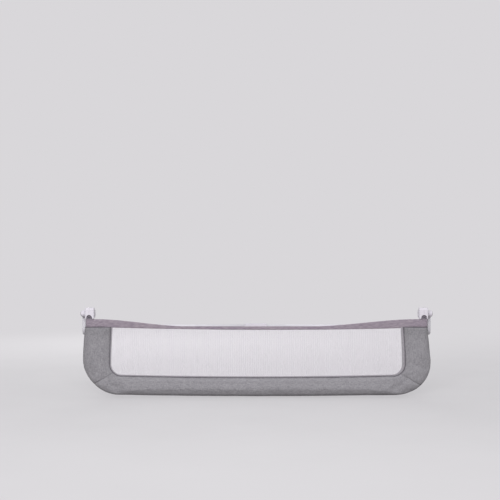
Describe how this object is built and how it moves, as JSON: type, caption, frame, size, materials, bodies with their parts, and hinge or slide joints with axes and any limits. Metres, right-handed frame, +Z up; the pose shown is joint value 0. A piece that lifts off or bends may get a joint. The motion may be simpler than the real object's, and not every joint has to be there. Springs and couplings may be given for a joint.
{
  "type": "folding bed guard rail",
  "caption": "Folded-down bed guard: U-shaped padded rail with a net window, hung on push-button hinges from a frame that lies under the mattress.",
  "frame": {"origin": "middle of the flat underside of the centre joiner, where the frame rests on the bed base", "axes": "+X along the bed rail, +Y inwards over the bed, +Z up"},
  "size_m": [1.524, 0.526, 0.381],
  "materials": {
    "white_plastic": "satin moulded",
    "grey_plastic": "satin moulded",
    "painted_steel": "dark satin powder coat",
    "white_steel": "white satin powder coat",
    "zinc_steel": "bright zinc plated",
    "padded_cloth": "woven heather grey",
    "hem_cloth": "ribbed mauve grey",
    "piping_cloth": "pale corded edge",
    "net_cloth": "fine pale net",
    "foam": "soft foam",
    "rubber": "ribbed matt"
  },
  "bodies": {
    "base": {"centre_joiner": "white_plastic", "left_base_arm": "white_steel", "right_base_arm": "white_steel", "left_rear_tube": "white_steel", "right_rear_tube": "white_steel", "left_corner_joiner": "white_plastic", "right_corner_joiner": "white_plastic", "left_grip_sleeve": "rubber", "right_grip_sleeve": "rubber", "left_arm_joiner_screw": "zinc_steel", "right_arm_joiner_screw": "zinc_steel", "left_rear_joiner_screw": "zinc_steel", "right_rear_joiner_screw": "zinc_steel", "left_centre_joiner_screw": "zinc_steel", "right_centre_joiner_screw": "zinc_steel", "left_hinge_base": "white_plastic", "right_hinge_base": "white_plastic", "left_bracket_screw": "zinc_steel", "right_bracket_screw": "zinc_steel"},
    "rail": {"left_bracket_inner_shell": "white_plastic", "right_bracket_inner_shell": "white_plastic", "left_bracket_outer_shell": "white_plastic", "right_bracket_outer_shell": "white_plastic", "left_shell_screw_1": "zinc_steel", "right_shell_screw_1": "zinc_steel", "left_shell_screw_2": "zinc_steel", "right_shell_screw_2": "zinc_steel", "left_pivot_bolt": "zinc_steel", "right_pivot_bolt": "zinc_steel", "left_pivot_nut": "zinc_steel", "right_pivot_nut": "zinc_steel", "left_lock_spring": "zinc_steel", "right_lock_spring": "zinc_steel", "left_snap_button": "zinc_steel", "right_snap_button": "zinc_steel", "left_post_tube": "painted_steel", "right_post_tube": "painted_steel", "left_post_foam": "foam", "right_post_foam": "foam", "left_post_pad": "padded_cloth", "right_post_pad": "padded_cloth", "lower_rail_tube": "painted_steel", "lower_rail_foam": "foam", "lower_rail_pad": "padded_cloth", "window_piping": "piping_cloth", "mesh_panel": "net_cloth", "hem_strip": "hem_cloth"},
    "left_button": {"left_release_button": "grey_plastic"},
    "left_gear": {"left_lock_gear": "grey_plastic"},
    "right_button": {"right_release_button": "grey_plastic"},
    "right_gear": {"right_lock_gear": "grey_plastic"}
  },
  "joints": [
    {"name": "rail_fold", "type": "hinge", "parent": "base", "child": "rail", "pos_m": [0, -0.462, 0.1], "axis": [-1, 0, 0], "range_deg": [0, 180]},
    {"name": "left_release_button", "type": "slide", "parent": "base", "child": "left_button", "axis": [-1, 0, 0], "range_m": [0, 0.005], "stiffness_N_per_m": 400, "springref_m": 0.008},
    {"name": "left_lock_gear", "type": "slide", "parent": "rail", "child": "left_gear", "axis": [-1, 0, 0], "range_m": [0, 0.005], "deforming": ["left_lock_spring"]},
    {"name": "right_release_button", "type": "slide", "parent": "base", "child": "right_button", "axis": [1, 0, 0], "range_m": [0, 0.005], "stiffness_N_per_m": 400, "springref_m": 0.008},
    {"name": "right_lock_gear", "type": "slide", "parent": "rail", "child": "right_gear", "axis": [1, 0, 0], "range_m": [0, 0.005], "deforming": ["right_lock_spring"]}
  ],
  "couplings": [
    {"joint": "left_lock_gear", "follows": "left_release_button", "ratio": 1},
    {"joint": "right_lock_gear", "follows": "right_release_button", "ratio": 1}
  ]
}
